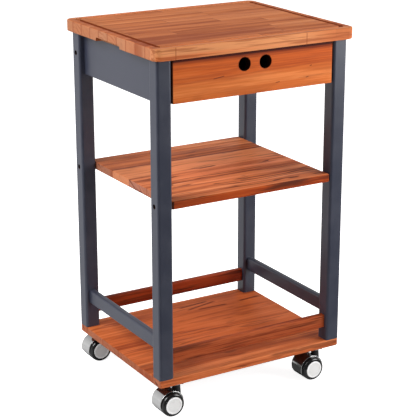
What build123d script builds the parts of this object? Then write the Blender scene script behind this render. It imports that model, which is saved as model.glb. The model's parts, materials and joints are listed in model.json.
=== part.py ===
from build123d import *
import os
from itertools import product

# A wooden serving cart on four swivel castors. It stands on the floor at z = 0, centred on x = 0 and y = 0.
# X runs from left to right, Y from front to back and Z up. All sizes are in millimetres.

# Frame
frame_width = 490.0
frame_depth = 404.0
leg_length = 728.0
leg_side = 36.0
leg_edge_radius = 6.0
apron_height = 98.0
apron_thickness = 16.0
apron_inset = 13.5
apron_edge_radius = 2.0
stretcher_thickness = 16.0
stretcher_height = 35.0
stretcher_lift = 61.0
stretcher_edge_radius = 4.5
rail_thickness = 16.0
rail_height = 32.0
rail_lift = 31.0
rail_edge_radius = 3.0

# Boards
top_thickness = 27.0
top_side_overhang = 11.0
top_front_overhang = 15.0
top_corner_radius = 18.0
top_edge_radius = 3.0
groove_inset = 15.0
groove_width = 10.5
groove_depth = 6.0
groove_inner_radius = 6.0
groove_floor_radius = 3.0
grip_length = 114.0
grip_height = 9.0
grip_depth = 15.0
grip_corner_radius = 9.0
grip_cove_radius = 5.0
shelf_thickness = 19.0
shelf_lift = 396.0
shelf_recess = 3.0
shelf_end_gap = 0.5
shelf_corner_radius = 4.0
bottom_thickness = 19.0
bottom_corner_radius = 7.0
board_edge_radius = 3.0

# Drawer
drawer_front_thickness = 18.0
drawer_front_recess = 1.5
drawer_front_gap = 3.0
drawer_top_gap = 2.0
drawer_front_edge_radius = 1.5
finger_hole_radius = 15.0
finger_hole_spacing = 54.0
finger_hole_drop = 28.0
finger_hole_edge_radius = 1.2
drawer_side_thickness = 12.0
drawer_side_height = 72.0
drawer_box_lift = 6.0
drawer_back_thickness = 12.0
drawer_back_offset = 10.0
drawer_back_drop = 6.0
drawer_back_gap = 4.0
drawer_dado_depth = 4.0
panel_thickness = 4.0
panel_lift = 8.0
panel_groove_depth = 5.0
panel_fit = 0.15
runner_gap = 9.5
runner_height = 12.0
runner_groove_depth = 6.0
runner_clearance = 0.3
runner_end_gap = 2.0
drawer_stop_gap = 0.3

# Fasteners
dowel_radius = 4.0
dowel_length = 28.0
dowel_end_room = 0.5
apron_dowel_spacing = 50.0
drawer_dowel_radius = 3.0
drawer_dowel_length = 22.0
drawer_dowel_spacing = 34.0
fastener_fit = 0.05
leg_screw_radius = 2.5
leg_screw_length = 55.0
leg_screw_head_radius = 4.8
leg_screw_head_height = 4.0
counterbore_radius = 5.5
counterbore_depth = 9.0
foot_screw_radius = 2.5
foot_screw_length = 50.0
foot_screw_head_radius = 5.0
foot_screw_head_height = 3.0
wood_screw_radius = 1.75
wood_screw_length = 12.0
wood_screw_head_radius = 3.4
wood_screw_head_height = 2.0
runner_screw_bite = 8.0
runner_screw_spacing = 130.0
runner_counterbore_radius = 4.0
bracket_flange = 20.0
bracket_width = 20.0
bracket_thickness = 2.0
bracket_spacing = 180.0

# Castors
castor_height = 72.0
castor_side_inset = 53.0
castor_front_inset = 21.5
castor_trail = 22.0
plate_side = 30.0
plate_thickness = 2.5
plate_corner_radius = 4.0
plate_hole_spacing = 20.0
race_radius = 9.5
race_height = 4.0
kingpin_radius = 4.0
kingpin_length = 20.0
kingpin_end_room = 0.5
swivel_gap = 0.3
running_fit = 0.05
neck_radius = 9.0
neck_foot_radius = 11.5
neck_edge_radius = 1.5
web_thickness = 9.0
axle_radius = 3.0
axle_length = 44.0
axle_boss_radius = 9.0
wheel_radius = 28.0
wheel_side_gap = 0.5
wheel_outer_offset = 29.5
wheel_shoulder_radius = 6.5
wheel_inner_chamfer = 1.5
axle_end_room = 0.5
cap_radius = 20.5
cap_recess_depth = 3.0
cap_proud = 0.8
cap_rim_width = 3.6
cap_dish_depth = 0.8
cap_edge_chamfer = 0.5
hood_wall = 2.2
hood_wheel_gap = 1.0
hood_half_width = 20.0
hood_front_angle = 16.0
hood_rear_angle = 194.0
hood_edge_radius = 0.7

# Levels and places worked out from the sizes above
leg_foot = castor_height + bottom_thickness
leg_head = leg_foot + leg_length
top_surface = leg_head + top_thickness
top_width = frame_width + 2 * top_side_overhang
top_depth = frame_depth + 2 * top_front_overhang
leg_x = (frame_width - leg_side) / 2
leg_y = (frame_depth - leg_side) / 2
leg_inner_x = frame_width / 2 - leg_side
leg_inner_y = frame_depth / 2 - leg_side
apron_x = frame_width / 2 - apron_inset - apron_thickness / 2
apron_inner_x = apron_x - apron_thickness / 2
apron_z = leg_head - apron_height / 2
apron_bottom = leg_head - apron_height
stretcher_z = leg_foot + stretcher_lift + stretcher_height / 2
rail_z = leg_foot + rail_lift + rail_height / 2
shelf_bottom = leg_foot + shelf_lift
shelf_z = shelf_bottom + shelf_thickness / 2
drawer_front_face = -frame_depth / 2 + drawer_front_recess
drawer_front_back = drawer_front_face + drawer_front_thickness
drawer_front_width = 2 * (leg_inner_x - drawer_front_gap)
drawer_front_top = leg_head - drawer_top_gap
drawer_rear = leg_y - apron_thickness / 2 - drawer_back_gap
drawer_side_outer = apron_inner_x - runner_gap
drawer_side_inner = drawer_side_outer - drawer_side_thickness
drawer_side_x = (drawer_side_outer + drawer_side_inner) / 2
drawer_side_bottom = apron_bottom + drawer_box_lift
drawer_side_z = drawer_side_bottom + drawer_side_height / 2
panel_bottom = drawer_side_bottom + panel_lift
panel_top = panel_bottom + panel_thickness
runner_depth = runner_gap + runner_groove_depth - runner_clearance
runner_x = apron_inner_x - runner_depth / 2
runner_reach = leg_inner_y - runner_end_gap
castor_x = frame_width / 2 - castor_side_inset
castor_y = frame_depth / 2 - castor_front_inset
plate_bottom = castor_height - plate_thickness
neck_top = plate_bottom - race_height - swivel_gap
neck_height = neck_top - wheel_radius
hood_inner_radius = wheel_radius + hood_wheel_gap
hood_outer_radius = hood_inner_radius + hood_wall
wheel_inner_offset = web_thickness / 2 + wheel_side_gap

SIDES = (-1, 1)
CORNERS = tuple(product(SIDES, SIDES))
SIDE_NAMES = {-1: "left", 1: "right"}
END_NAMES = {-1: "front", 1: "back"}
TURNS = {
    "+X": Rot(0, 90, 0),
    "-X": Rot(0, -90, 0),
    "+Y": Rot(-90, 0, 0),
    "+Z": Rot(0, 0, 0),
}


def corner_name(side, end):
    """The name of a corner of the cart, such as front_left."""
    return f"{END_NAMES[end]}_{SIDE_NAMES[side]}"


def span_box(low, high):
    """A box between two opposite corners."""
    size = [b - a for a, b in zip(low, high)]
    middle = [(a + b) / 2 for a, b in zip(low, high)]
    return Pos(*middle) * Box(*size)


def placed(shape, spot, heading):
    """A shape made along +Z from the origin, moved to a spot and turned to a heading."""
    return Pos(*spot) * TURNS[heading] * shape


def placed_at(shape, sites):
    """Copies of a shape at each site, which is a spot and a heading."""
    return [placed(shape, *site) for site in sites]


def rod(radius, length, spot, heading):
    """A round rod that starts at a spot and runs along a heading."""
    return placed(Pos(0, 0, length / 2) * Cylinder(radius, length), spot, heading)


def box_corners(shape):
    """The lowest and the highest corner of a shape's bounding box."""
    box = shape.bounding_box()
    return tuple(box.min), tuple(box.max)


def boxes_meet(one, other):
    """Whether two bounding boxes, each given by its corners, meet."""
    lows = zip(one[0], other[1])
    highs = zip(other[0], one[1])
    return all(a < b for a, b in lows) and all(a < b for a, b in highs)


def drilled(piece, holes):
    """A piece with every hole that reaches it cut away. Each hole comes with its box."""
    own = box_corners(piece)
    near = [hole for hole, box in holes if boxes_meet(own, box)]
    return piece - near if near else piece


def rounded_board(width, depth, thickness, bottom, corner_radius, edge_radius):
    """A flat board with rounded corners and rounded edges."""
    board = Pos(0, 0, bottom) * extrude(RectangleRounded(width, depth, corner_radius), amount=thickness)
    faces = board.faces().sort_by(Axis.Z)
    return fillet(faces[0].edges() + faces[-1].edges(), edge_radius)


def bar_along_x(length, thickness, height, radius, middle):
    """A bar along X with its four long edges rounded."""
    section = Plane.YZ * RectangleRounded(thickness, height, radius)
    return Pos(*middle) * extrude(section, amount=length / 2, both=True)


def bar_along_y(length, thickness, height, radius, middle):
    """A bar along Y with its four long edges rounded."""
    section = Plane.XZ * RectangleRounded(thickness, height, radius)
    return Pos(*middle) * extrude(section, amount=length / 2, both=True)


def dowel_sites():
    """Where each frame dowel crosses a joint face, and the heading that it runs along."""
    sites = []
    for side, end in CORNERS:
        for offset in (-apron_dowel_spacing / 2, apron_dowel_spacing / 2):
            sites.append(((side * apron_x, end * leg_inner_y, apron_z + offset), "+Y"))
        sites.append(((side * leg_x, end * leg_inner_y, stretcher_z), "+Y"))
        sites.append(((side * leg_inner_x, end * leg_y, rail_z), "+X"))
    return sites


def drawer_dowel_sites():
    """Where each drawer dowel crosses from the drawer's front into its sides."""
    offsets = (-drawer_dowel_spacing / 2, drawer_dowel_spacing / 2)
    return [
        ((side * drawer_side_x, drawer_front_back, drawer_side_z + offset), "+Y")
        for side, offset in product(SIDES, offsets)
    ]


def dowel(radius, length, site, end_room=0.0, fit=0.0):
    """A dowel, or with room and fit its hole, centred on the face that it crosses."""
    spot, heading = site
    full = length + 2 * end_room
    return placed(Cylinder(radius + fit, full), spot, heading)


def leg_screw_sites():
    """The counterbore floor and heading of each screw through a leg's outer side face."""
    sites = []
    seat = frame_width / 2 - counterbore_depth
    for side in SIDES:
        heading = "-X" if side > 0 else "+X"
        for end in SIDES:
            sites.append(((side * seat, end * leg_y, shelf_z), heading))
        sites.append(((side * seat, leg_y, apron_z), heading))
    return sites


def leg_screw():
    """A cylinder-head screw with its head below the origin."""
    head = Pos(0, 0, -leg_screw_head_height / 2) * Cylinder(leg_screw_head_radius, leg_screw_head_height)
    shank = Pos(0, 0, leg_screw_length / 2) * Cylinder(leg_screw_radius, leg_screw_length)
    return head + shank


def leg_screw_hole():
    """The counterbore and shank hole for a leg screw."""
    bore = Pos(0, 0, -counterbore_depth / 2) * Cylinder(counterbore_radius, counterbore_depth)
    depth = leg_screw_length + dowel_end_room
    shank = Pos(0, 0, depth / 2) * Cylinder(leg_screw_radius + fastener_fit, depth)
    return bore + shank


def foot_screw(fit=0.0, end_room=0.0):
    """A countersunk screw that points up from the origin, or with fit and room its hole."""
    length = foot_screw_length + end_room
    shank = Pos(0, 0, length / 2) * Cylinder(foot_screw_radius + fit, length)
    head = Cone(foot_screw_head_radius + fit, foot_screw_radius + fit, foot_screw_head_height)
    return shank + Pos(0, 0, foot_screw_head_height / 2) * head


def foot_screw_sites():
    """The middle of each leg, on the underside of the bottom board."""
    return [((side * leg_x, end * leg_y, castor_height), "+Z") for side, end in CORNERS]


def castor_screw_sites():
    """The underside of each castor plate at its four holes."""
    half = plate_hole_spacing / 2
    return [
        ((side * castor_x + dx * half, end * castor_y + dy * half, plate_bottom), "+Z")
        for (side, end), (dx, dy) in product(CORNERS, CORNERS)
    ]


def bracket_screw_sites():
    """One screw into the apron and one up into the top board for each angle bracket."""
    sites = []
    for side, end in CORNERS:
        y = end * bracket_spacing / 2
        inner = apron_inner_x - bracket_thickness
        heading = "+X" if side > 0 else "-X"
        sites.append(((side * inner, y, leg_head - bracket_flange / 2 - bracket_thickness / 2), heading))
        across = apron_inner_x - bracket_flange / 2 - bracket_thickness / 2
        sites.append(((side * across, y, leg_head - bracket_thickness), "+Z"))
    return sites


def runner_screw_sites():
    """Screws in counterbores through each runner into the apron behind it."""
    seat = apron_inner_x + runner_screw_bite - wood_screw_length
    offsets = (-runner_screw_spacing, 0.0, runner_screw_spacing)
    return [
        ((side * seat, offset, drawer_side_z), "+X" if side > 0 else "-X")
        for side, offset in product(SIDES, offsets)
    ]


def wood_screw():
    """A pan-head screw with its head below the origin."""
    head = Cylinder(wood_screw_head_radius, wood_screw_head_height)
    shank = Cylinder(wood_screw_radius, wood_screw_length)
    return Pos(0, 0, -wood_screw_head_height / 2) * head + Pos(0, 0, wood_screw_length / 2) * shank


def wood_screw_hole():
    """The shank hole for a wood screw."""
    depth = wood_screw_length + dowel_end_room
    return Pos(0, 0, depth / 2) * Cylinder(wood_screw_radius + fastener_fit, depth)


def all_wood_screw_sites():
    """Every place that takes a wood screw."""
    return castor_screw_sites() + bracket_screw_sites() + runner_screw_sites()


def frame_holes():
    """Every hole that a fastener needs in the frame and the boards."""
    holes = [dowel(dowel_radius, dowel_length, site, dowel_end_room, fastener_fit) for site in dowel_sites()]
    holes += placed_at(leg_screw_hole(), leg_screw_sites())
    holes += placed_at(foot_screw(fastener_fit, dowel_end_room), foot_screw_sites())
    holes += placed_at(wood_screw_hole(), all_wood_screw_sites())
    return [(hole, box_corners(hole)) for hole in holes]


def top_board():
    """The worktop: rounded board, juice groove round the top and a finger grip under each end."""
    board = rounded_board(top_width, top_depth, top_thickness, leg_head, top_corner_radius, top_edge_radius)
    inner_width = top_width - 2 * (groove_inset + groove_width)
    inner_depth = top_depth - 2 * (groove_inset + groove_width)
    inner = RectangleRounded(inner_width, inner_depth, groove_inner_radius)
    outer = RectangleRounded(
        inner_width + 2 * groove_width,
        inner_depth + 2 * groove_width,
        groove_inner_radius + groove_width,
    )
    channel = Pos(0, 0, top_surface - groove_depth) * extrude(outer - inner, amount=groove_depth)
    channel = fillet(channel.faces().sort_by(Axis.Z)[0].edges(), groove_floor_radius)
    grip = extrude(RectangleRounded(2 * grip_depth, grip_length, grip_corner_radius), amount=grip_height)
    grip = fillet(grip.faces().sort_by(Axis.Z)[-1].edges(), grip_cove_radius)
    grips = [Pos(side * top_width / 2, 0, leg_head) * grip for side in SIDES]
    return board - channel - grips


def leg(side, end):
    """A square leg with rounded long edges."""
    section = RectangleRounded(leg_side, leg_side, leg_edge_radius)
    return Pos(side * leg_x, end * leg_y, leg_foot) * extrude(section, amount=leg_length)


def side_apron(side):
    """The apron between a front and a back leg."""
    middle = (side * apron_x, 0, apron_z)
    return bar_along_y(2 * leg_inner_y, apron_thickness, apron_height, apron_edge_radius, middle)


def back_apron():
    """The apron between the back legs."""
    middle = (0, leg_y, apron_z)
    return bar_along_x(2 * leg_inner_x, apron_thickness, apron_height, apron_edge_radius, middle)


def stretcher(side):
    """The low painted bar between a front and a back leg."""
    middle = (side * leg_x, 0, stretcher_z)
    return bar_along_y(2 * leg_inner_y, stretcher_thickness, stretcher_height, stretcher_edge_radius, middle)


def rail(end):
    """The low wooden guard rail between a left and a right leg."""
    middle = (0, end * leg_y, rail_z)
    return bar_along_x(2 * leg_inner_x, rail_thickness, rail_height, rail_edge_radius, middle)


def middle_shelf():
    """The shelf that fits between the left and the right legs."""
    width = 2 * (leg_inner_x - shelf_end_gap)
    depth = frame_depth - 2 * shelf_recess
    return rounded_board(width, depth, shelf_thickness, shelf_bottom, shelf_corner_radius, board_edge_radius)


def bottom_board():
    """The board that the legs stand on and the castors carry."""
    return rounded_board(
        frame_width, frame_depth, bottom_thickness, castor_height, bottom_corner_radius, board_edge_radius
    )


def runner(side):
    """The wooden strip that a drawer side slides on, with counterbored screw holes."""
    strip = span_box(
        (-runner_depth / 2, -runner_reach, -runner_height / 2),
        (runner_depth / 2, runner_reach, runner_height / 2),
    )
    strip = Pos(side * runner_x, 0, drawer_side_z) * strip
    bores = []
    for spot, heading in runner_screw_sites():
        if spot[0] * side > 0:
            away = "-X" if heading == "+X" else "+X"
            bores.append(rod(runner_counterbore_radius, runner_depth, spot, away))
    return strip - bores


def top_bracket(side, end):
    """An angle bracket in the corner between a side apron and the top board."""
    low = (apron_inner_x - bracket_flange, -bracket_width / 2, leg_head - bracket_thickness)
    high = (apron_inner_x, bracket_width / 2, leg_head)
    upright_low = (apron_inner_x - bracket_thickness, -bracket_width / 2, leg_head - bracket_flange)
    angle = span_box(low, high) + span_box(upright_low, high)
    turned = angle if side > 0 else Rot(0, 0, 180) * angle
    return Pos(0, end * bracket_spacing / 2, 0) * turned


def drawer_front():
    """The drawer's front with two finger holes, and a groove behind for the bottom panel."""
    half = drawer_front_width / 2
    front = span_box((-half, drawer_front_face, apron_bottom), (half, drawer_front_back, drawer_front_top))
    front = fillet(front.edges(), drawer_front_edge_radius)
    hole_z = drawer_front_top - finger_hole_drop
    holes = [
        rod(finger_hole_radius, drawer_front_thickness, (x, drawer_front_face, hole_z), "+Y")
        for x in (-finger_hole_spacing / 2, finger_hole_spacing / 2)
    ]
    front = front - holes
    rims = front.edges().filter_by(GeomType.CIRCLE)
    rims = rims.filter_by(lambda edge: abs(edge.radius - finger_hole_radius) < fastener_fit)
    front = fillet(rims, finger_hole_edge_radius)
    groove = span_box(
        (-drawer_side_outer, drawer_front_back - panel_groove_depth, panel_bottom - panel_fit),
        (drawer_side_outer, drawer_front_back, panel_top + panel_fit),
    )
    return front - groove


def drawer_side(side):
    """A drawer side: runner groove outside, panel groove and dado for the back inside."""
    top = drawer_side_bottom + drawer_side_height
    board = span_box(
        (drawer_side_inner, drawer_front_back, drawer_side_bottom), (drawer_side_outer, drawer_rear, top)
    )
    half_groove = runner_height / 2 + runner_clearance
    runner_groove = span_box(
        (drawer_side_outer - runner_groove_depth, -runner_reach - drawer_stop_gap, drawer_side_z - half_groove),
        (drawer_side_outer, drawer_rear, drawer_side_z + half_groove),
    )
    panel_groove = span_box(
        (drawer_side_inner, drawer_front_back, panel_bottom - panel_fit),
        (drawer_side_inner + panel_groove_depth, drawer_rear, panel_top + panel_fit),
    )
    dado_rear = drawer_rear - drawer_back_offset
    dado = span_box(
        (drawer_side_inner, dado_rear - drawer_back_thickness, panel_bottom),
        (drawer_side_inner + drawer_dado_depth, dado_rear, top),
    )
    made = board - [runner_groove, panel_groove, dado]
    return made if side > 0 else mirror(made, about=Plane.YZ)


def drawer_back():
    """The drawer's back, housed in the sides above the bottom panel."""
    reach = drawer_side_inner + drawer_dado_depth - panel_fit
    rear = drawer_rear - drawer_back_offset
    top = drawer_side_bottom + drawer_side_height - drawer_back_drop
    return span_box((-reach, rear - drawer_back_thickness, panel_top), (reach, rear, top))


def drawer_bottom():
    """The thin panel in the grooves of the drawer's front and sides."""
    reach = drawer_side_inner + panel_groove_depth - panel_fit
    front = drawer_front_back - panel_groove_depth + panel_fit
    return span_box((-reach, front, panel_bottom), (reach, drawer_rear - drawer_back_offset, panel_top))


def castor_plate():
    """The castor's mounting plate with four screw holes, and the race and kingpin below it."""
    outline = RectangleRounded(plate_side, plate_side, plate_corner_radius)
    holes = GridLocations(plate_hole_spacing, plate_hole_spacing, 2, 2) * Circle(wood_screw_radius + fastener_fit)
    plate = Pos(0, 0, plate_bottom) * extrude(outline - holes, amount=plate_thickness)
    race = Pos(0, 0, plate_bottom - race_height / 2) * Cylinder(race_radius, race_height)
    pin = Pos(0, 0, plate_bottom - kingpin_length / 2) * Cylinder(kingpin_radius, kingpin_length)
    return plate + race + pin


def neck_cone(fit=0.0):
    """The tapered swivel neck above the axle's level, or with fit the room for it."""
    cone = Cone(neck_foot_radius + fit, neck_radius + fit, neck_height)
    return Pos(0, 0, wheel_radius + neck_height / 2) * cone


def castor_fork():
    """The dark body between the wheels: swivel neck, web under the hood and boss for the axle."""
    axle = (-castor_trail, wheel_radius)
    web_radius = hood_inner_radius - fastener_fit
    neck = fillet(neck_cone().faces().sort_by(Axis.Z)[-1].edges(), neck_edge_radius)
    room_middle = (web_thickness + wheel_outer_offset) / 2
    wheel_rooms = [
        Pos(axle[0], end * room_middle, axle[1]) * Rot(90, 0, 0) * Cylinder(hood_inner_radius, wheel_outer_offset)
        for end in SIDES
    ]
    upper_half = Pos(axle[0] + web_radius / 2 - axle_boss_radius / 2, axle[1] + web_radius / 2) * Rectangle(
        web_radius + axle_boss_radius, web_radius
    )
    outline = (Pos(*axle) * Circle(web_radius)) & upper_half
    outline = outline + Pos(*axle) * Circle(axle_boss_radius)
    web = extrude(Plane.XZ * outline, amount=web_thickness / 2, both=True)
    axle_hole = Pos(axle[0], 0, axle[1]) * Rot(90, 0, 0) * Cylinder(axle_radius + fastener_fit, web_thickness)
    pin_depth = kingpin_length - race_height - swivel_gap + kingpin_end_room
    pin_bore = Pos(0, 0, neck_top - pin_depth / 2) * Cylinder(kingpin_radius + running_fit, pin_depth)
    return (neck - wheel_rooms) + web - axle_hole - pin_bore


def castor_hood():
    """The bright curved cover over the wheels, open round the neck."""
    axle = (-castor_trail, wheel_radius)
    sweep = hood_rear_angle - hood_front_angle
    outer = CenterArc(axle, hood_outer_radius, hood_front_angle, sweep)
    inner = CenterArc(axle, hood_inner_radius, hood_front_angle, sweep)
    outline = make_face([outer, inner, Line(outer @ 0, inner @ 0), Line(outer @ 1, inner @ 1)])
    hood = extrude(Plane.XZ * outline, amount=hood_half_width, both=True)
    rims = hood.edges().filter_by(GeomType.CIRCLE)
    rims = rims.filter_by(lambda edge: abs(edge.radius - hood_outer_radius) < fastener_fit)
    hood = fillet(rims, hood_edge_radius)
    return hood - neck_cone(fastener_fit)


def castor_axle():
    """The plain axle through the fork's boss."""
    return Pos(-castor_trail, 0, wheel_radius) * Rot(90, 0, 0) * Cylinder(axle_radius, axle_length)


def wheel_place(end):
    """Moves a wheel piece from its own axis to the front or the back of a castor."""
    return Pos(-castor_trail, 0, wheel_radius) * Rot(0, 0, 0 if end > 0 else 180)


def castor_wheel(end):
    """One wheel: round shoulder outside, recess for the cap and a blind bore for the axle."""
    bore = axle_radius + running_fit
    bore_end = axle_length / 2 + axle_end_room
    cap_seat = wheel_outer_offset - cap_recess_depth
    shoulder = wheel_outer_offset - wheel_shoulder_radius
    face_radius = wheel_radius - wheel_shoulder_radius
    straight = Polyline(
        (wheel_radius, shoulder),
        (wheel_radius, wheel_inner_offset + wheel_inner_chamfer),
        (wheel_radius - wheel_inner_chamfer, wheel_inner_offset),
        (bore, wheel_inner_offset),
        (bore, bore_end),
        (0, bore_end),
        (0, cap_seat),
        (cap_radius, cap_seat),
        (cap_radius, wheel_outer_offset),
        (face_radius, wheel_outer_offset),
    )
    rounded = CenterArc((face_radius, shoulder), wheel_shoulder_radius, 0, 90)
    wheel = revolve(make_face([straight, rounded]), Axis.Y)
    return wheel_place(end) * wheel


def castor_cap(end):
    """The pale disc in a wheel's recess, with a raised rim round a shallow dish."""
    seat = wheel_outer_offset - cap_recess_depth
    outside = cap_radius - fastener_fit
    proud = wheel_outer_offset + cap_proud
    dish = proud - cap_dish_depth
    rim_inside = outside - cap_rim_width
    outline = Polyline(
        (0, seat),
        (outside, seat),
        (outside, proud - cap_edge_chamfer),
        (outside - cap_edge_chamfer, proud),
        (rim_inside, proud),
        (rim_inside - cap_dish_depth, dish),
        (0, dish),
        close=True,
    )
    return wheel_place(end) * revolve(make_face(outline), Axis.Y)


def frame_parts():
    """The pieces that don't move: legs, boards, bars, runners and their fasteners."""
    holes = frame_holes()
    pieces = {f"{corner_name(*corner)}_leg": leg(*corner) for corner in CORNERS}
    for side, name in SIDE_NAMES.items():
        pieces[f"{name}_apron"] = side_apron(side)
        pieces[f"{name}_stretcher"] = stretcher(side)
        pieces[f"{name}_runner"] = runner(side)
    pieces["back_apron"] = back_apron()
    pieces["front_rail"] = rail(-1)
    pieces["back_rail"] = rail(1)
    pieces["middle_shelf"] = middle_shelf()
    pieces["bottom_board"] = bottom_board()
    pieces["top_board"] = top_board()
    made = {name: drilled(piece, holes) for name, piece in pieces.items()}
    brackets = [drilled(top_bracket(*corner), holes) for corner in CORNERS]
    made["top_brackets"] = Compound(children=brackets)
    dowels = [dowel(dowel_radius, dowel_length, site) for site in dowel_sites()]
    made["frame_dowels"] = Compound(children=dowels)
    made["leg_screws"] = Compound(children=placed_at(leg_screw(), leg_screw_sites()))
    made["foot_screws"] = Compound(children=placed_at(foot_screw(), foot_screw_sites()))
    made["wood_screws"] = Compound(children=placed_at(wood_screw(), all_wood_screw_sites()))
    return made


def drawer_parts():
    """The pieces that slide out with the drawer."""
    sites = drawer_dowel_sites()
    holes = [
        dowel(drawer_dowel_radius, drawer_dowel_length, site, dowel_end_room, fastener_fit) for site in sites
    ]
    holes = [(hole, box_corners(hole)) for hole in holes]
    dowels = [dowel(drawer_dowel_radius, drawer_dowel_length, site) for site in sites]
    return {
        "drawer_front": drilled(drawer_front(), holes),
        "drawer_left_side": drilled(drawer_side(-1), holes),
        "drawer_right_side": drilled(drawer_side(1), holes),
        "drawer_back": drawer_back(),
        "drawer_bottom": drawer_bottom(),
        "drawer_dowels": Compound(children=dowels),
    }


def castor_parts():
    """The four castors, all trailing to the left."""
    shapes = {"plate": castor_plate(), "fork": castor_fork(), "hood": castor_hood(), "axle": castor_axle()}
    for end, name in END_NAMES.items():
        shapes[f"{name}_wheel"] = castor_wheel(end)
        shapes[f"{name}_cap"] = castor_cap(end)
    made = {}
    for side, end in CORNERS:
        place = Pos(side * castor_x, end * castor_y, 0)
        for name, shape in shapes.items():
            made[f"{corner_name(side, end)}_castor_{name}"] = place * shape
    return made


os.makedirs("parts", exist_ok=True)
for node, solid in {**frame_parts(), **drawer_parts(), **castor_parts()}.items():
    export_step(solid, f"parts/{node}.step")
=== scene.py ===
import json
import math
from types import SimpleNamespace
import bpy
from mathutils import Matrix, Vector


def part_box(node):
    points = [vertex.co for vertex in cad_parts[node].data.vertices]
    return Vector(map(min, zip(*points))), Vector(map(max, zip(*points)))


# The looks of a wooden serving cart. Lengths are in metres and colours are linear.
# A named pair of numbers is a span or a change, from its start to its end, unless its heading says more.

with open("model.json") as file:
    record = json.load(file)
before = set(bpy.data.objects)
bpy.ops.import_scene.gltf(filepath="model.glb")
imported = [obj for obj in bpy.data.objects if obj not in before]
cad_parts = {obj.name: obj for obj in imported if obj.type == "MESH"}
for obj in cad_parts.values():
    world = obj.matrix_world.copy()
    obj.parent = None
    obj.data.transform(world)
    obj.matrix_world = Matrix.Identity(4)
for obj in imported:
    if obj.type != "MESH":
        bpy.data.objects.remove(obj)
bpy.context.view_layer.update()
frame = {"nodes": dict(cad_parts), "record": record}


def middle(node):
    """The middle of a node's box."""
    low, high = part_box(node)
    return (low + high) / 2


# Picture
SENSOR_WIDTH = 36.0
PICTURE_SIDE = 420.0
FOCAL_PIXELS = 1400.0
CAMERA_YAW = math.radians(-31.02)
CAMERA_PITCH = math.radians(17.80)
CAMERA_PLACE = Vector((-1.624, -2.711, 1.413))

# Lamps, all aimed at one point: place, side of the square, watts, and whether reflections show it
LAMP_AIM = Vector((0.0, 0.0, 0.45))
LAMPS = {
    "key": (Vector((-2.7, 0.3, 2.8)), 1.8, 114.0, True),
    "fill": (Vector((1.3, -1.2, 1.0)), 1.0, 28.5, True),
    "back": (Vector((-0.7, 2.8, 1.8)), 2.4, 20.0, False),
}

# Light from the world: how it fades in reflections, by direction, and how strong it is elsewhere
SKY_FRONT_Y = (-0.5, 0.1)
SKY_LEFT_X = (-0.4, 0.2)
SKY_HIGH_Z = (0.05, 0.45)
SKY_FRONT_LEVEL = 0.30
SKY_HIGH_LEVELS = (0.75, 0.35)
SOFT_LIGHT = 0.30

# Floor: where it fades in reflections and near the cart, with a painted shadow under the cart that only
# reflections show
FLOOR_HALF = 30.0
FLOOR_FRONT_Y = (-0.50, -0.16)
FLOOR_SIDE_X = (0.20, 0.29)
FLOOR_BACK_Y = (0.16, 0.26)
FLOOR_NEAR = (0.5, 1.6)
FLOOR_FRONT_LEVEL = 0.10
FLOOR_UNDER_SHADOW_LEVEL = 0.08
FLOOR_NEAR_LEVEL = 0.90

# How far a face has to turn to an axis before a finish counts it
FACE_LEVELS = (0.55, 0.85)
WALL_LEVELS = (0.45, 0.75)
ROUNDED_END_LEVELS = (0.1, 0.5)
ONE_WAY_LEVELS = (0.5, 0.9)

# Widths of soft borders
EDGE_SOFT = 0.001
LEVEL_SOFT = 0.002

# Worktop: the groove, the field inside it, the front stave with its rim, and the X of the rim's two joints
TOP_LOW, TOP_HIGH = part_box("top_board")
TOP_STAVE = 0.043
TOP_BLOCK = 0.36
GROOVE_INSET = 0.0145
GROOVE_DEPTH = 0.0065
GROOVE_X = (-TOP_HIGH.x + GROOVE_INSET, TOP_HIGH.x - GROOVE_INSET)
GROOVE_Y = (-TOP_HIGH.y + GROOVE_INSET, TOP_HIGH.y - GROOVE_INSET)
GROOVE_FLOOR_Z = TOP_HIGH.z - GROOVE_DEPTH
FIELD_STREAK_X = (-0.30, 0.0)
FIELD_STREAK_Y = (-0.145, -0.125)
FIELD_STREAK_SOFT_X = 0.16
FIELD_STREAK_SOFT_Y = 0.03
FIELD_STREAK_LEVELS = (0.3, 0.6)
FIELD_LEFT_X = (-0.235, -0.180)
FIELD_LEFT_Y = (-0.20, 0.16)
FRONT_STAVE_Y = TOP_LOW.y + 0.0215
FRONT_STAVE_PALE = 0.35
RIM_PALE = 0.75
RIM_LEFT_X = (-0.23, -0.10)
RIM_RIGHT_X = (0.08, 0.22)
RIM_FOOT_X = (-0.20, 0.05)
RIM_FOOT_Z = (TOP_LOW.z + 0.007, TOP_LOW.z + 0.014)
RIM_JOINTS = (-0.207, 0.124)
RIM_JOINT_EDGE = (0.0008, 0.0020)

# Drawer front: the slanting line between its two tones, the painted shadow and painted shadow line at its
# head, and its finger holes
DRAWER_LOW, DRAWER_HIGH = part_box("drawer_front")
DRAWER_LINE_Z = DRAWER_LOW.z + 0.040
DRAWER_LINE_SLOPE = 0.029
DRAWER_LINE_WAVE = 0.014
DRAWER_LINE_HALF = 0.0008
DRAWER_LINE_SOFT = 0.0018
DRAWER_TONE_STEP = (-0.008, 0.006)
DRAWER_GRAIN_STEP = (0.0, 0.006)
DRAWER_GRAIN_LEVELS = (0.47, 0.62)
DRAWER_LEFT_X = (-0.22, 0.22)
# Painted shadow of the worktop on the drawer front, and a painted shadow line just under the worktop
DRAWER_SHADOW_Z = (DRAWER_HIGH.z - 0.0170, DRAWER_HIGH.z - 0.0075)
DRAWER_HEAD_Z = (DRAWER_HIGH.z - 0.0076, DRAWER_HIGH.z - 0.0058)
HOLE_X = 0.027
HOLE_Z = DRAWER_HIGH.z - 0.028
HOLE_EDGE = (0.0152, 0.0158)

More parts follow.
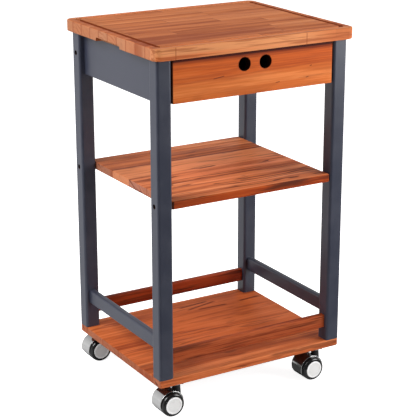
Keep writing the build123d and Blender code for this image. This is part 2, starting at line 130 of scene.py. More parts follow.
# Middle shelf, bottom board and guard rails, which share one finish
SHELF_LOW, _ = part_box("middle_shelf")
RAIL_LOW, RAIL_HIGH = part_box("front_rail")
BOARD_STAVE = 0.083
SHELF_Z = (SHELF_LOW.z - 0.017, SHELF_LOW.z - 0.007)
RAIL_Z = (RAIL_LOW.z - 0.001, RAIL_HIGH.z + 0.002)
RAIL_SIDES_Y = (-0.01, 0.01)
SHELF_EDGE_Y = (SHELF_LOW.y + 0.0005, SHELF_LOW.y + 0.0025)
SHELF_EDGE_LEFT_X = (SHELF_LOW.x + 0.004, SHELF_LOW.x + 0.006)
SHELF_EDGE_LEVELS = (0.5, 0.62)
SHELF_LEFT_X = (-0.20, 0.0)
SHELF_FRONT_Y = (-0.06, 0.06)
SHELF_MIDDLE_Y = (-0.062, 0.0)
SHELF_MIDDLE_SOFT = 0.004
LIGHT_STAVE_Y = (LEVEL_SOFT, BOARD_STAVE - LEVEL_SOFT)
DARK_SIDE_Y = (BOARD_STAVE, BOARD_STAVE + 0.021)
BACK_SEAM_Y = (BOARD_STAVE, BOARD_STAVE + 0.005)
FRONT_SEAM_Y = (-0.004, 0.001)
BOTTOM_CALM_X = (-0.18, -0.05)
BOTTOM_CALM_Y = (-0.15, -0.08)
BOTTOM_FRONT_Y = (-0.172, -0.150)
BEHIND_RAIL_Y = (-0.150, -0.110)
BEHIND_RAIL_SOFT = 0.03
BEHIND_RAIL_LEVELS = (0.3, 0.55)
STRIPE_TURNS = 270.0
STRIPE_DRIFT = 0.13
STRIPE_LEVELS = (0.58, 0.92)
STRIPE_GATE_LEVELS = (0.43, 0.54)
STRIPE_BACK_Y = (-0.002, 0.002)
STRIPE_LEFT_X = (-0.22, -0.10)
STRIPE_FRONT_Y = (-0.172, -0.160)

# Screw recesses in the legs, and hub caps round the axles
SCREW_Y = middle("back_left_leg").y
SHELF_SCREW_Z = middle("middle_shelf").z
APRON_SCREW_Z = middle("back_apron").z
SCREW_EDGE = (0.0056, 0.0060)
LEFT_AXLE = middle("front_left_castor_axle")
RIGHT_AXLE = middle("front_right_castor_axle")
CAP_RIM_EDGE = (0.0161, 0.0166)

# Single marks in the wood, each from one point to another: X and Y, X and Z, or Y and Z
MARK_STRENGTH = 0.8
MARK_CORE = 0.4
MARK_TAPER = 0.2
BOTTOM_MARKS = (
    ((0.018, 0.158), (0.086, 0.164)),
    ((0.033, 0.139), (0.104, 0.154)),
    ((0.057, 0.127), (0.122, 0.124)),
    ((0.176, 0.127), (0.224, 0.131)),
)
BOTTOM_MARK_WIDTH = 0.0048
DRAWER_MARKS = (
    ((-0.103, 0.765), (-0.081, 0.768)),
    ((0.055, 0.739), (0.064, 0.740)),
    ((0.135, 0.742), (0.141, 0.743)),
    ((0.145, 0.767), (0.150, 0.768)),
)
DRAWER_MARK_WIDTH = 0.0014
SHELF_END_MARKS = (
    ((0.002, 0.506), (-0.040, 0.486)),
    ((-0.064, 0.489), (-0.050, 0.491)),
)
SHELF_END_MARK_WIDTH = 0.0026

# How staves and blocks are counted, how far apart their grain is taken, a block longer than any board,
# and staves as wide as whole pieces
STAVE_OFFSET = 50.0
BLOCK_OFFSET = 20.0
BLOCK_SHIFT = 7.0
BLOCK_STEP = 17.3
TONE_JUMP = 9.0
SHIFT_JUMP = 3.0
NO_BUTT_JOINTS = 5.0
DRAWER_STAVE = 0.4
PALE_STAVE = 0.5

# Growth rings: where the tree's heart lies, by shares of a stave and by height, and how dense they are
HEART_FIRST = -0.3
HEART_SPREAD = 1.6
HEART_TURNS = 2.5
HEART_REACH = 0.4
HEART_LEAST = 0.012
RING_WAVE = 0.016
RING_TURNS = 1500.0
RING_LEVELS = (-0.2, 1.0)
ARC_TURNS = 620.0
ARC_LEVELS = (0.1, 0.9)
ARC_STAVE_LEVELS = (0.4, 0.7)
ARC_BAND_LEVELS = (0.40, 0.55)
ARC_STRENGTH = 0.5

# What makes wood light or dark: weights, steps between its tones, edges of joints, and levels of noise
BAND_WEIGHT = 1.9
FIBRE_WEIGHT = 0.5
RING_WEIGHT = -0.10
MARK_RELIEF = -0.6
MIDDLE_STEP = (0.0, 0.5)
LIGHT_STEP = (0.5, 1.0)
SEAM_EDGE = (0.0004, 0.0016)
BUTT_EDGE = (0.0003, 0.0012)
END_SEAM_EDGE = (0.0010, 0.0030)
LINE_LEVELS = (0.53, 0.62)
MARK_LEVELS = (0.61, 0.71)
PATCH_LEVELS = (0.53, 0.66)
STROKE_LEVELS = (0.50, 0.62)
END_STROKE_LEVELS = (0.56, 0.68)

# Noise scales of the finishes, along three axes or alike in all of them
BAND_NOISE = (1.3, 26.0, 26.0)
FIBRE_NOISE = (14.0, 480.0, 480.0)
LINE_NOISE_ALONG = 3.2
LINE_NOISE_UP = 88.0
MARK_NOISE_ALONG = 5.5
MARK_NOISE_UP = 112.0
MARK_GRAIN = 1.5
PATCH_NOISE = (6.5, 45.0, 75.0)
END_NOISE = (24.0, 95.0, 3.0)
FIELD_NOISE = (5.0, 40.0, 1.0)
RIM_NOISE = (6.0, 90.0, 150.0)
DRAWER_LINE_NOISE = (7.0, 1.0, 25.0)
DRAWER_GRAIN_NOISE = (5.0, 1.0, 130.0)
BOARD_NOISE = (4.0, 60.0, 60.0)
STRIPE_NOISE = (3.0, 14.0, 14.0)
STRIPE_GATE_NOISE = (6.5, 26.0, 26.0)
RAIL_NOISE = (5.0, 60.0, 140.0)
PAINT_NOISE = 22.0
PAINT_TEXTURE_NOISE = 900.0
METAL_NOISE = 160.0
PLASTIC_NOISE = 60.0
CAP_NOISE = 90.0
PLASTIC_TEXTURE_NOISE = 1400.0
FLOOR_NOISE = 3.0

# Roughness of the surfaces, how far colours vary, and the levels of noise where they change
CLOUD_LEVELS = (0.3, 0.7)
WOOD_GLOSS_LEVELS = (0.3, 0.75)
WOOD_ROUGHNESS = (0.58, 0.46)
WOOD_SPECULAR = 0.12
PAINT_WEAR_LEVELS = (0.35, 0.75)
PAINT_ROUGHNESS = (0.34, 0.42)
CAP_ROUGHNESS = (0.26, 0.34)
PLASTIC_SPREAD = 0.06
METAL_DARKER = 0.88
CAP_DARKER = 0.94
PLASTIC_LIGHTER = 1.15
PLASTIC_LIFT = 0.001

# Wood colours
WOOD_DARK = (0.280, 0.054, 0.014)
WOOD_MIDDLE = (0.520, 0.136, 0.038)
WOOD_LIGHT = (0.690, 0.225, 0.078)
WOOD_STREAK = (0.100, 0.018, 0.005)
WOOD_END = (0.480, 0.208, 0.105)
FRONT_STAVE_LIGHT = (0.790, 0.332, 0.132)
# Painted shade with darker end grain, and a painted highlight, for the groove's walls
GROOVE_SHADE_AND_END_GRAIN = (0.170, 0.026, 0.006)
GROOVE_HIGHLIGHT = (0.850, 0.360, 0.160)
DRAWER_DARK = (0.340, 0.058, 0.011)
DRAWER_MIDDLE = (0.580, 0.130, 0.021)
DRAWER_LIGHT = (0.750, 0.228, 0.060)
SHELF_LIGHT = (0.760, 0.250, 0.088)
SHELF_END = (0.280, 0.122, 0.075)
BOTTOM_MIDDLE = (0.480, 0.112, 0.034)
# Painted shadow line under the worktop
HEAD_SHADOW = (0.055, 0.006, 0.001)
# Painted shade for the gaps between the drawer front or shelf and the legs
GAP_SHADE = (0.035, 0.008, 0.003)
HOLE_DARK = (0.020, 0.005, 0.002)
INNER_DARK = (0.36, 0.17, 0.075)
INNER_MIDDLE = (0.50, 0.27, 0.13)
INNER_LIGHT = (0.60, 0.37, 0.20)
PALE_DARK = (0.44, 0.28, 0.15)
PALE_MIDDLE = (0.58, 0.41, 0.25)
PALE_LIGHT = (0.68, 0.52, 0.35)

# Tints that wood colours are multiplied by, among them painted shade and painted light
LEFT_SHADE_TINT = (0.82, 0.84, 0.84)
FIELD_TINT = (1.05, 1.12, 0.99)
RIM_END_TINT = (0.80, 0.58, 0.45)
# Painted shade along the foot of the worktop's front rim
RIM_FOOT_SHADE_TINT = (0.96, 0.72, 0.60)
DRAWER_TINT = (0.98, 0.82, 0.64)
# Painted shadow of the worktop on the drawer front's head
DRAWER_SHADOW_TINT = (0.44, 0.33, 0.28)
LOWER_BOARD_TINT = (1.00, 0.84, 0.70)
# Painted light on the middle shelf, more in its middle and front
SHELF_PAINTED_LIGHT = (1.15, 1.22, 1.42)
SHELF_MIDDLE_PAINTED_LIGHT = (1.10, 1.12, 1.20)
SHELF_FRONT_PAINTED_LIGHT = (1.15, 1.13, 1.13)
SHELF_EDGE_TINT = (0.50, 0.240, 0.055)
BOTTOM_FRONT_TINT = (0.97, 1.03, 1.20)
# Painted shade on the bottom board's underside
UNDERSIDE_SHADE_TINT = (0.30, 0.24, 0.30)
FRONT_RAIL_TINT = (0.58, 0.44, 0.42)
BACK_RAIL_TINT = (0.46, 0.24, 0.18)

# Paint, metal, plastic and floor colours
PAINT = (0.032, 0.036, 0.058)
PAINT_WORN = (0.040, 0.044, 0.067)
CHROME = (0.60, 0.60, 0.60)
ZINC = (0.60, 0.61, 0.63)
STEEL = (0.020, 0.020, 0.022)
WHEEL_BLACK = (0.004, 0.004, 0.004)
FORK_BLACK = (0.008, 0.007, 0.008)
CAP_FACE = (0.80, 0.80, 0.79)
CAP_RIM = (0.90, 0.90, 0.90)
FLOOR_WHITE = (0.86, 0.86, 0.86)
FLOOR_SOFT = (0.80, 0.80, 0.80)
WHITE = (1.0, 1.0, 1.0)
BLACK = (0.0, 0.0, 0.0)


class Nodes:
    """A node tree, with short calls for the nodes that the finishes and the world share."""

    def __init__(self, tree):
        self.tree = tree

    def plug(self, socket, value):
        """Links a socket to another one, or sets its value."""
        if isinstance(value, bpy.types.NodeSocket):
            self.tree.links.new(value, socket)
        elif socket.type == "RGBA":
            socket.default_value = (*value, 1.0)
        else:
            socket.default_value = value

    def add(self, kind, *values, **settings):
        """A node with its settings and, in order, its inputs."""
        made = self.tree.nodes.new(kind)
        for key, value in settings.items():
            setattr(made, key, value)
        for socket, value in zip(made.inputs, values):
            self.plug(socket, value)
        return made

    def math(self, operation, *values):
        """The result of a calculation on numbers or sockets."""
        return self.add("ShaderNodeMath", *values, operation=operation).outputs[0]

    def product(self, *factors):
        """The product of several factors."""
        result = factors[0]
        for factor in factors[1:]:
            result = self.math("MULTIPLY", result, factor)
        return result

    def distance(self, *parts):
        """The length of a vector from its parts."""
        total = 0.0
        for part in parts:
            total = self.math("MULTIPLY_ADD", part, part, total)
        return self.math("SQRT", total)

    def off(self, value, centre):
        """How far a value is from a centre, to either side."""
        return self.math("ABSOLUTE", self.math("SUBTRACT", value, centre))

    def sway(self, base, noise, weight):
        """A value moved up and down by noise that lies round one half."""
        return self.math("MULTIPLY_ADD", self.math("SUBTRACT", noise, 0.5), weight, base)

    def split(self, vector):
        """The three parts of a vector."""
        return self.add("ShaderNodeSeparateXYZ", vector).outputs

    def join(self, *parts):
        """A vector from its three parts."""
        return self.add("ShaderNodeCombineXYZ", *parts).outputs[0]

    def band(self, value, span, start=0.0, end=1.0, smooth=True):
        """A step from one level to another, over a span of values."""
        made = self.tree.nodes.new("ShaderNodeMapRange")
        made.interpolation_type = "SMOOTHSTEP" if smooth else "LINEAR"
        names = ("Value", "From Min", "From Max", "To Min", "To Max")
        for key, number in zip(names, (value, *span, start, end)):
            self.plug(made.inputs[key], number)
        return made.outputs["Result"]

    def fade(self, value, span, start=1.0):
        """A smooth step down to zero."""
        return self.band(value, span, start, 0.0)

    def inside(self, value, span, soft):
        """One within a span and zero outside it, with soft ends."""
        low, high = span
        return self.product(self.band(value, (low - soft, low)), self.fade(value, (high, high + soft)))

    def rays(self):
        """Two factors: whether a ray comes from the camera, and whether it was mirrored."""
        path = self.tree.nodes.new("ShaderNodeLightPath").outputs
        mirrored = self.math("MAXIMUM", path["Is Glossy Ray"], path["Is Transmission Ray"])
        return path["Is Camera Ray"], mirrored


class Finish(Nodes):
    """One material, with calls that place tones and marks on the cart."""

    def __init__(self, name):
        self.material = bpy.data.materials.new(name)
        self.material.use_nodes = True
        super().__init__(self.material.node_tree)
        self.shader = self.tree.nodes["Principled BSDF"]
        self.place = self.tree.nodes.new("ShaderNodeTexCoord").outputs["Object"]
        self.x, self.y, self.z = self.split(self.place)
        self.facing = self.split(self.tree.nodes.new("ShaderNodeNewGeometry").outputs["Normal"])

    def noise(self, vector, scale, detail=3.0, roughness=0.55, distortion=0.0):
        """Noise with one scale, or one for each axis."""
        stretch = scale if isinstance(scale, tuple) else (scale, scale, scale)
        made = self.tree.nodes.new("ShaderNodeTexNoise")
        scaled = self.add("ShaderNodeVectorMath", vector, stretch, operation="MULTIPLY").outputs[0]
        self.plug(made.inputs["Vector"], scaled)
        made.inputs["Scale"].default_value = 1.0
        made.inputs["Detail"].default_value = detail
        made.inputs["Roughness"].default_value = roughness
        made.inputs["Distortion"].default_value = distortion
        return made.outputs["Fac"]

    def chance(self, value):
        """Three random numbers that depend only on a value."""
        made = self.tree.nodes.new("ShaderNodeTexWhiteNoise")
        made.noise_dimensions = "1D"
        self.plug(made.inputs["W"], value)
        return self.split(made.outputs["Color"])

    def along(self, axis, levels):
        """One on the faces that look along an axis, either way."""
        return self.band(self.math("ABSOLUTE", self.facing[axis]), levels)

    def towards(self, axis, sign):
        """One on the faces that look along an axis in one direction."""
        return self.band(self.math("MULTIPLY", self.facing[axis], sign), ONE_WAY_LEVELS)

    def mix(self, factor, first, second, blend="MIX"):
        """A colour between two others, or the first one multiplied by the second."""
        made = self.tree.nodes.new("ShaderNodeMix")
        made.data_type = "RGBA"
        made.blend_type = blend
        colours = [socket for socket in made.inputs if socket.type == "RGBA"]
        self.plug(made.inputs["Factor"], factor)
        self.plug(colours[0], first)
        self.plug(colours[1], second)
        return next(socket for socket in made.outputs if socket.type == "RGBA")

    def cover(self, colour, over, *where, strength=1.0):
        """A colour covered by another one where all factors are one."""
        factors = where if strength == 1.0 else (*where, strength)
        return self.mix(self.product(*factors), colour, over)

    def tint(self, colour, tint, *where):
        """A colour multiplied by a tint where all factors are one."""
        return self.mix(self.product(*where), colour, tint, "MULTIPLY")

    def bump(self, height, strength, depth):
        """Fine relief on the shader."""
        made = self.tree.nodes.new("ShaderNodeBump")
        made.inputs["Strength"].default_value = strength
        made.inputs["Distance"].default_value = depth
        self.plug(made.inputs["Height"], height)
        self.plug(self.shader.inputs["Normal"], made.outputs["Normal"])

    def set(self, **values):
        """Sets the shader's own inputs, such as base_color or roughness."""
        for key, value in values.items():
            name = key.replace("_", " ").title().replace("Ior", "IOR")
            self.plug(self.shader.inputs[name], value)


def stroke(f, first, second, start, end, width):
    """One on a straight mark between two points, with soft ends, and zero elsewhere."""
    run = (end[0] - start[0], end[1] - start[1])
    length = math.hypot(*run)
    across, up = run[0] / length, run[1] / length
    ahead = f.math("SUBTRACT", first, start[0])
    aside = f.math("SUBTRACT", second, start[1])
    done = f.math("MULTIPLY_ADD", ahead, across, f.math("MULTIPLY", aside, up))
    off_line = f.math("MULTIPLY_ADD", ahead, up, f.math("MULTIPLY", aside, -across))
    on_line = f.fade(f.math("ABSOLUTE", off_line), (MARK_CORE * width, width))
    return f.product(on_line, f.inside(done, (0.0, length), soft=MARK_TAPER * length))


def add_marks(f, colour, first, second, marks, width, where):
    """A colour with dark marks on the faces where a factor is one."""
    for start, end in marks:
        mark = stroke(f, first, second, start, end, width)
        colour = f.cover(colour, WOOD_STREAK, mark, where, strength=MARK_STRENGTH)
    return colour


def field_tones(f, colour):
    """A dark streak along the front of the worktop's field, and painted shade towards its left."""
    waves = f.band(f.noise(f.place, FIELD_NOISE, detail=4.0), FIELD_STREAK_LEVELS)
    along = f.inside(f.x, FIELD_STREAK_X, FIELD_STREAK_SOFT_X)
    across = f.inside(f.y, FIELD_STREAK_Y, FIELD_STREAK_SOFT_Y)
    colour = f.cover(colour, WOOD_DARK, along, across, waves, strength=0.7)
    # Painted shade towards the worktop's left
    return f.tint(colour, LEFT_SHADE_TINT, f.fade(f.x, FIELD_LEFT_X), f.band(f.y, FIELD_LEFT_Y, 0.1, 0.9))


def front_stave_tones(f, colour):
    """A pale stave along the worktop's front, and a rim with deeper ends, painted shade along its foot, and
    butt joints.
    """
    stave = f.fade(f.y, (FRONT_STAVE_Y - EDGE_SOFT, FRONT_STAVE_Y))
    upright = f.along("Y", WALL_LEVELS)
    rim = f.product(stave, upright)
    pale = f.math("MULTIPLY_ADD", upright, RIM_PALE - FRONT_STAVE_PALE, FRONT_STAVE_PALE)
    colour = f.cover(colour, FRONT_STAVE_LIGHT, stave, pale)
    strokes = f.noise(f.place, RIM_NOISE, detail=3.0)
    colour = f.cover(colour, WOOD_DARK, stave, f.band(strokes, STROKE_LEVELS, end=0.55))
    to_ends = f.math("MAXIMUM", f.fade(f.x, RIM_LEFT_X, start=0.05), f.band(f.x, RIM_RIGHT_X))
    colour = f.tint(colour, RIM_END_TINT, rim, to_ends)
    # Painted shade along the rim's foot, strongest at the left
    colour = f.tint(colour, RIM_FOOT_SHADE_TINT, rim, f.fade(f.z, RIM_FOOT_Z), f.band(f.x, RIM_FOOT_X, 1.0, 0.2))
    for joint in RIM_JOINTS:
        colour = f.cover(colour, WOOD_DARK, rim, f.fade(f.off(f.x, joint), RIM_JOINT_EDGE, start=0.5))
    return colour


def worktop_details(f, colour):
    """Tones of the worktop's field and front stave, painted shade with darker end grain on the groove's
    X-facing walls, and a painted highlight on its Y-facing walls.
    """
    in_groove = f.product(f.inside(f.x, GROOVE_X, EDGE_SOFT), f.inside(f.y, GROOVE_Y, EDGE_SOFT))
    colour = f.tint(colour, FIELD_TINT, in_groove)
    colour = field_tones(f, colour)
    colour = front_stave_tones(f, colour)
    walls = f.product(in_groove, f.band(f.z, (GROOVE_FLOOR_Z - EDGE_SOFT, GROOVE_FLOOR_Z)))
    # Painted shade with darker end grain on the X-facing groove walls, and a painted highlight on the
    # Y-facing ones
    colour = f.cover(colour, GROOVE_SHADE_AND_END_GRAIN, walls, f.along("X", WALL_LEVELS), strength=0.92)
    return f.cover(colour, GROOVE_HIGHLIGHT, walls, f.along("Y", WALL_LEVELS), strength=0.75)


def drawer_tones(f, colour):
    """A deeper tone with dark grain above a slanting, wavy line, and painted shade towards the left."""
    waves = f.noise(f.place, DRAWER_LINE_NOISE, detail=2.0)
    line = f.math("MULTIPLY_ADD", waves, DRAWER_LINE_WAVE, DRAWER_LINE_Z)
    line = f.math("MULTIPLY_ADD", f.x, DRAWER_LINE_SLOPE, line)
    above = f.math("SUBTRACT", f.z, line)
    colour = f.tint(colour, DRAWER_TINT, f.band(above, DRAWER_TONE_STEP))
    on_line = f.inside(above, (-DRAWER_LINE_HALF, DRAWER_LINE_HALF), DRAWER_LINE_SOFT)
    colour = f.cover(colour, DRAWER_DARK, on_line, strength=0.45)
    grain = f.band(f.noise(f.place, DRAWER_GRAIN_NOISE, detail=3.0), DRAWER_GRAIN_LEVELS, end=0.5)
    colour = f.cover(colour, DRAWER_DARK, f.band(above, DRAWER_GRAIN_STEP), grain)
    # Painted shade towards the drawer front's left
    return f.tint(colour, LEFT_SHADE_TINT, f.fade(f.x, DRAWER_LEFT_X, start=0.3))


def drawer_details(f, colour):
    """Tones and marks of the drawer front, a painted shadow of the worktop with a painted shadow line at its
    head, painted shade on its ends for the gaps beside the legs, and dark walls in its finger holes.
    """
    colour = drawer_tones(f, colour)
    front = f.towards("Y", -1.0)
    colour = add_marks(f, colour, f.x, f.z, DRAWER_MARKS, DRAWER_MARK_WIDTH, front)
    # Painted shadow of the worktop's overhang, then a painted shadow line at the head
    colour = f.tint(colour, DRAWER_SHADOW_TINT, front, f.band(f.z, DRAWER_SHADOW_Z))
    colour = f.cover(colour, HEAD_SHADOW, front, f.band(f.z, DRAWER_HEAD_Z))
    # Painted shade on the ends, for the gaps beside the legs
    colour = f.cover(colour, GAP_SHADE, f.along("X", ROUNDED_END_LEVELS), strength=0.92)
    from_holes = f.math("SUBTRACT", f.math("ABSOLUTE", f.x), HOLE_X)
    reach = f.distance(from_holes, f.math("SUBTRACT", f.z, HOLE_Z))
    return f.cover(colour, HOLE_DARK, f.fade(reach, HOLE_EDGE))


def shelf_staves(f, colour, shelf):
    """A light stave in the shelf, and a dark side on the stave behind it."""
    colour = f.cover(colour, SHELF_LIGHT, shelf, f.inside(f.y, LIGHT_STAVE_Y, LEVEL_SOFT), strength=0.55)
    behind_seam = f.band(f.y, (BOARD_STAVE - EDGE_SOFT, BOARD_STAVE))
    return f.cover(colour, WOOD_DARK, shelf, f.fade(f.y, DARK_SIDE_Y, start=0.8), behind_seam)


def shelf_tones(f, colour, shelf):
    """Painted shade at the shelf's left, and painted light on its middle and front."""
    # Painted shade at the left, painted light in the middle and front
    colour = f.tint(colour, LEFT_SHADE_TINT, shelf, f.fade(f.x, SHELF_LEFT_X))
    colour = f.tint(colour, SHELF_MIDDLE_PAINTED_LIGHT, shelf, f.inside(f.y, SHELF_MIDDLE_Y, SHELF_MIDDLE_SOFT))
    return f.tint(colour, SHELF_FRONT_PAINTED_LIGHT, shelf, f.fade(f.y, SHELF_FRONT_Y))


def bottom_tones(f, colour, bottom, waves):
    """The bottom board's calm middle, its front, a painted shadow of the rail broken by grain, and painted
    shade on its underside.
    """
    calm = f.product(bottom, f.band(f.x, BOTTOM_CALM_X), f.band(f.y, BOTTOM_CALM_Y))
    colour = f.cover(colour, BOTTOM_MIDDLE, calm, strength=0.35)
    colour = f.tint(colour, BOTTOM_FRONT_TINT, bottom, f.fade(f.y, BOTTOM_FRONT_Y))
    # Painted shadow of the front rail, broken by grain
    rail_shadow = f.product(bottom, f.inside(f.y, BEHIND_RAIL_Y, BEHIND_RAIL_SOFT))
    colour = f.cover(colour, WOOD_DARK, rail_shadow, f.band(waves, BEHIND_RAIL_LEVELS), strength=0.9)
    # Painted shade on the underside
    return f.tint(colour, UNDERSIDE_SHADE_TINT, bottom, f.towards("Z", -1.0))


def board_stripes(f, colour, shelf, level):
    """Broken dark stripes along the boards, weaker at the back, left and front, and the shelf's seams."""
    drift = f.math("MULTIPLY_ADD", f.noise(f.place, STRIPE_NOISE, detail=3.0), STRIPE_DRIFT, f.y)
    stripes = f.band(f.math("SINE", f.math("MULTIPLY", drift, STRIPE_TURNS)), STRIPE_LEVELS)
    gate = f.band(f.noise(f.place, STRIPE_GATE_NOISE, detail=2.0), STRIPE_GATE_LEVELS)
    to_back = f.band(f.y, STRIPE_BACK_Y, 0.90, 0.45)
    from_left = f.band(f.x, STRIPE_LEFT_X, 0.35, 1.0)
    from_front = f.math("MAXIMUM", shelf, f.band(f.y, STRIPE_FRONT_Y, 0.25, 0.6))
    colour = f.cover(colour, WOOD_STREAK, stripes, gate, level, to_back, from_left, from_front)
    front_seam = f.product(f.inside(f.y, FRONT_SEAM_Y, LEVEL_SOFT), gate)
    seams = f.math("MAXIMUM", f.inside(f.y, BACK_SEAM_Y, LEVEL_SOFT), front_seam)
    return f.cover(colour, WOOD_STREAK, shelf, level, seams, strength=0.6)


def rail_tones(f, colour, rails):
    """Deep tones and dark strokes on the front and back guard rails."""
    rail_tint = f.mix(f.band(f.y, RAIL_SIDES_Y), FRONT_RAIL_TINT, BACK_RAIL_TINT)
    colour = f.tint(colour, rail_tint, rails)
    strokes = f.noise(f.place, RAIL_NOISE, detail=3.0)
    return f.cover(colour, WOOD_STREAK, rails, f.band(strokes, STROKE_LEVELS, end=0.55))


def shelf_edge_tones(f, colour, shelf, waves):
    """A deep tone on the shelf's front edge, with streaks, and painted shade at its left end for the gap
    beside the leg.
    """
    edge = f.product(shelf, f.fade(f.y, SHELF_EDGE_Y))
    colour = f.tint(colour, SHELF_EDGE_TINT, edge)
    colour = f.cover(colour, WOOD_STREAK, edge, f.band(waves, SHELF_EDGE_LEVELS))
    # Painted shade at the left end, for the gap beside the leg
    return f.cover(colour, GAP_SHADE, edge, f.fade(f.x, SHELF_EDGE_LEFT_X, start=0.9))


def board_details(f, colour):
    """Tones of the middle shelf, the bottom board and the guard rails, and their largest marks."""
    shelf = f.band(f.z, SHELF_Z)
    rails = f.inside(f.z, RAIL_Z, LEVEL_SOFT)
    bottom = f.fade(f.z, (RAIL_Z[0] - LEVEL_SOFT, RAIL_Z[0]))
    level = f.towards("Z", 1.0)
    waves = f.noise(f.place, BOARD_NOISE, detail=4.0)
    colour = shelf_staves(f, colour, shelf)
    # Painted light on the shelf, against the deeper tone of the bottom board and rails
    colour = f.tint(colour, f.mix(shelf, LOWER_BOARD_TINT, SHELF_PAINTED_LIGHT), 1.0)
    colour = shelf_tones(f, colour, shelf)
    colour = bottom_tones(f, colour, bottom, waves)
    colour = board_stripes(f, colour, shelf, level)
    on_bottom = f.product(bottom, level)
    colour = add_marks(f, colour, f.x, f.y, BOTTOM_MARKS, BOTTOM_MARK_WIDTH, on_bottom)
    on_shelf_end = f.product(shelf, f.towards("X", -1.0))
    colour = add_marks(f, colour, f.y, f.z, SHELF_END_MARKS, SHELF_END_MARK_WIDTH, on_shelf_end)
    colour = rail_tones(f, colour, rails)
    return shelf_edge_tones(f, colour, shelf, waves)


def lay_staves(f, across, stave, block, seed):
    """The staves of a glued board, cut into blocks: where a point lies in them, and each one's own grain."""
    side, up = (f.y, f.z) if across == "y" else (f.z, f.y)
    spot = f.math("MULTIPLY_ADD", side, 1.0 / stave, seed + STAVE_OFFSET)
    number = f.math("FLOOR", spot)
    part = f.math("FRACT", spot)
    first, second, third = f.chance(number)
    run = f.math("MULTIPLY_ADD", f.x, 1.0 / block, f.math("MULTIPLY_ADD", first, BLOCK_SHIFT, BLOCK_OFFSET))
    tone, shift, _ = f.chance(f.math("MULTIPLY_ADD", number, BLOCK_STEP, f.math("FLOOR", run)))
    point = f.join(
        f.math("MULTIPLY_ADD", tone, TONE_JUMP, f.x),
        f.math("MULTIPLY_ADD", shift, SHIFT_JUMP, side),
        f.math("ADD", up, second),
    )
    slanted = f.join(f.math("ADD", side, up), f.math("SUBTRACT", side, up), second)
    heart = f.math("SUBTRACT", part, f.math("MULTIPLY_ADD", third, HEART_SPREAD, HEART_FIRST))
    return SimpleNamespace(
        point=point,
        slanted=slanted,
        up=up,
        tone=tone,
        ringed=third,
        heart_side=f.math("MULTIPLY", heart, stave),
        seam=to_nearest_end(f, part, stave),
        butt=to_nearest_end(f, f.math("FRACT", run), block),
    )


def to_nearest_end(f, part, length):
    """The distance to the nearer end of a piece, from the part of its length that lies behind."""
    return f.math("MULTIPLY", f.math("MINIMUM", part, f.math("SUBTRACT", 1.0, part)), length)


def growth_radius(f, staves, bands):
    """The wavy distance from the heart of the tree."""
    turns = f.math("FRACT", f.math("MULTIPLY", staves.up, HEART_TURNS))
    heart_up = f.math("MULTIPLY_ADD", turns, HEART_REACH, HEART_LEAST)
    return f.math("MULTIPLY_ADD", bands, RING_WAVE, f.distance(staves.heart_side, heart_up))


def waves_of(f, radius, turns, levels):
    """Rings at even distances."""
    return f.band(f.math("SINE", f.math("MULTIPLY", radius, turns)), levels)


def end_grain(f, colour, staves, bands, radius, tones, ends):
    """A colour with growth rings, seams and slanting strokes on the ends of the staves."""
    dark, mid, _, streak, end_tone = tones
    end = f.along("X", FACE_LEVELS)
    plain = f.cover(end_tone, mid, staves.tone, strength=0.4)
    arcs = waves_of(f, radius, ARC_TURNS, ARC_LEVELS)
    here = f.product(f.band(staves.ringed, ARC_STAVE_LEVELS), f.band(bands, ARC_BAND_LEVELS))
    ringed = f.cover(plain, dark, arcs, here, strength=ARC_STRENGTH)
    colour = f.cover(colour, ringed, end, strength=0.85)
    colour = f.cover(colour, dark, end, f.fade(staves.seam, END_SEAM_EDGE, start=0.6))
    strokes = f.noise(staves.slanted, END_NOISE, roughness=0.6)
    return f.cover(colour, streak, end, f.band(strokes, END_STROKE_LEVELS), strength=ends)


